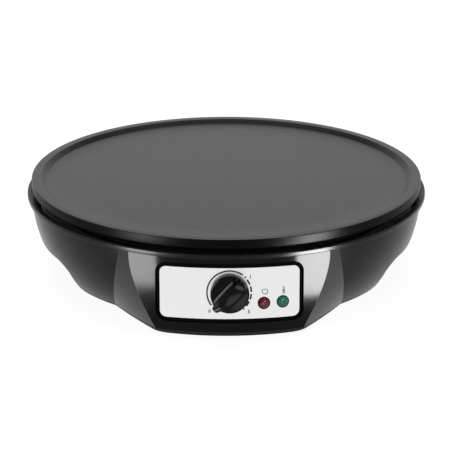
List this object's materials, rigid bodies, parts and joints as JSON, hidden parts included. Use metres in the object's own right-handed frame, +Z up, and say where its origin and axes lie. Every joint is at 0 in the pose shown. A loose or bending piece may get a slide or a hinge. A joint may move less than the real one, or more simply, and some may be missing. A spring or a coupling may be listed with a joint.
{
  "type": "electric crepe maker",
  "caption": "Tabletop electric crepe maker: a round cast griddle plate with a raised rim on a low bowl-shaped base, with a front panel that has a turning heat knob and lamps.",
  "frame": {"origin": "centre of the base's flat underside, on the cooking plate's axis; the rubber feet reach 2 mm below it", "axes": "+Z up along the plate's axis, -Y towards the control panel (front), +X to the right seen from the front"},
  "size_m": [0.307, 0.3223, 0.072],
  "materials": {
    "plate_coating": "cast aluminium with a satin black non-stick coating",
    "housing": "moulded, glossy black",
    "cover": "moulded, fine grain",
    "feet": "soft, matte",
    "fascia_metal": "fine brushed, bright",
    "knob_plastic": "moulded, semi-gloss black",
    "white_print": "plain white insert",
    "dark_trim": "plain",
    "red_plastic": "clear red",
    "green_plastic": "clear green",
    "lamp_glass": "clear",
    "steel": "plain plated",
    "shield_sheet": "zinc-coated sheet",
    "ceramic": "unglazed, cream",
    "brass": "plain",
    "copper": "plain copper",
    "brown_sleeve": "sleeved lead",
    "pale_sleeve": "sleeved lead",
    "blue_sleeve": "sleeved lead",
    "green_sleeve": "sleeved lead",
    "red_sleeve": "sleeved lead"
  },
  "bodies": {
    "base": {"griddle_plate": "plate_coating", "heating_element": "steel", "element_pins": "steel", "element_insulators": "ceramic", "element_saddles": "steel", "plate_screws": "steel", "plate_studs": "steel", "stud_spacers": "ceramic", "stud_nuts": "steel", "heat_shield": "shield_sheet", "shield_screws": "steel", "base_housing": "housing", "bottom_cover": "cover", "cover_screws": "steel", "rubber_feet": "feet", "panel_frame": "housing", "fascia": "fascia_metal", "fascia_clips": "steel", "thermostat_body": "ceramic", "thermostat_bracket": "steel", "bracket_screws": "steel", "thermostat_nut": "steel", "sensor_bulb": "copper", "bulb_clip": "steel", "red_lens": "red_plastic", "green_lens": "green_plastic", "lamp_rings": "dark_trim", "neon_lamps": "lamp_glass", "lamp_clips": "steel", "thermal_fuse": "ceramic", "fuse_clip": "steel", "shield_rivets": "steel", "terminal_block": "ceramic", "terminal_screws": "brass", "live_lead": "brown_sleeve", "switched_lead": "pale_sleeve", "fuse_lead": "pale_sleeve", "neutral_lead": "blue_sleeve", "earth_lead": "green_sleeve", "lamp_leads": "red_sleeve", "earth_tag": "brass", "cord_bush": "cover"},
    "control": {"knob": "knob_plastic", "knob_pointer": "white_print", "knob_spring": "steel", "thermostat_shaft": "steel"}
  },
  "joints": [
    {"name": "knob_turn", "type": "hinge", "parent": "base", "child": "control", "pos_m": [0, -0.15422, 0.0316], "axis": [0, 0.9962, -0.0872], "range_deg": [0, 270]}
  ]
}
